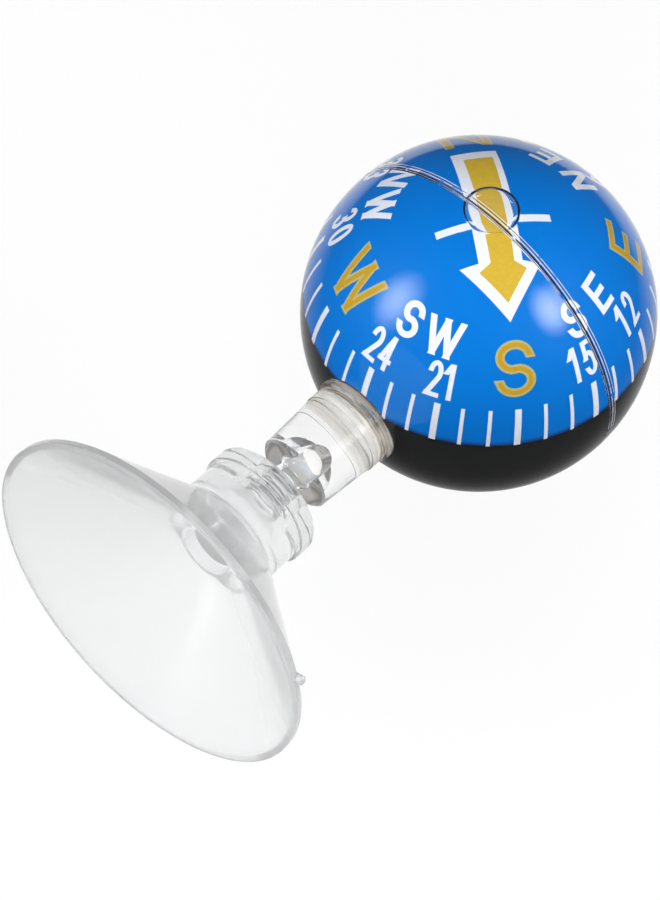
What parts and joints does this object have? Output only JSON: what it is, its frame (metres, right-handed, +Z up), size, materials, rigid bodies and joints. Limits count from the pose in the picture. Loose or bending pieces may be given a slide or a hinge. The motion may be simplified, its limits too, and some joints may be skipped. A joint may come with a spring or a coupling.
{
  "type": "dashboard ball compass",
  "caption": "Liquid-filled ball compass in a clear globe, on a swivelling slotted foot with a clear suction cup.",
  "frame": {"origin": "centre of the suction cup's rim plane", "axes": "+X along the cup's axis towards the globe, +Z up when the compass hangs with that axis level"},
  "size_m": [0.0826, 0.0484, 0.0496],
  "materials": {
    "clear_vinyl": "clear, soft, smooth",
    "clear_nylon": "clear, smooth",
    "clear_styrene": "clear, polished",
    "clear_oil": "clear liquid",
    "blue_card": "blue with white and gold print",
    "black_base": "black, smooth",
    "ballast_brass": "turned",
    "white_carrier": "moulded",
    "grey_ferrite": "sintered"
  },
  "bodies": {
    "cup": {"suction_cup": "clear_vinyl"},
    "stud": {"ball_stud": "clear_nylon"},
    "globe": {"swivel_foot": "clear_styrene", "globe_rear_shell": "clear_styrene", "globe_front_shell": "clear_styrene", "filler_plug": "clear_nylon"},
    "liquid": {"damping_liquid": "clear_oil"},
    "float": {"card_dome": "blue_card", "float_base": "black_base", "ballast_disc": "ballast_brass", "magnet_carrier": "white_carrier", "magnet": "grey_ferrite"}
  },
  "joints": [
    {"name": "stud_swivel", "type": "hinge", "parent": "cup", "child": "stud", "pos_m": [0.0222, 0, 0], "axis": [1, 0, 0], "continuous": true},
    {"name": "ball_tilt", "type": "hinge", "parent": "stud", "child": "globe", "pos_m": [0.0286, 0, 0], "axis": [0, -0.866, -0.5], "range_deg": [-86, 74]},
    {"name": "liquid_roll", "type": "hinge", "parent": "globe", "child": "liquid", "pos_m": [0.06013, -0.00168, 0.00292], "axis": [0.9943, -0.0531, 0.092], "continuous": true},
    {"name": "float_turn", "type": "hinge", "parent": "liquid", "child": "float", "pos_m": [0.06013, -0.00168, 0.00292], "axis": [0, 0, 1], "continuous": true}
  ]
}
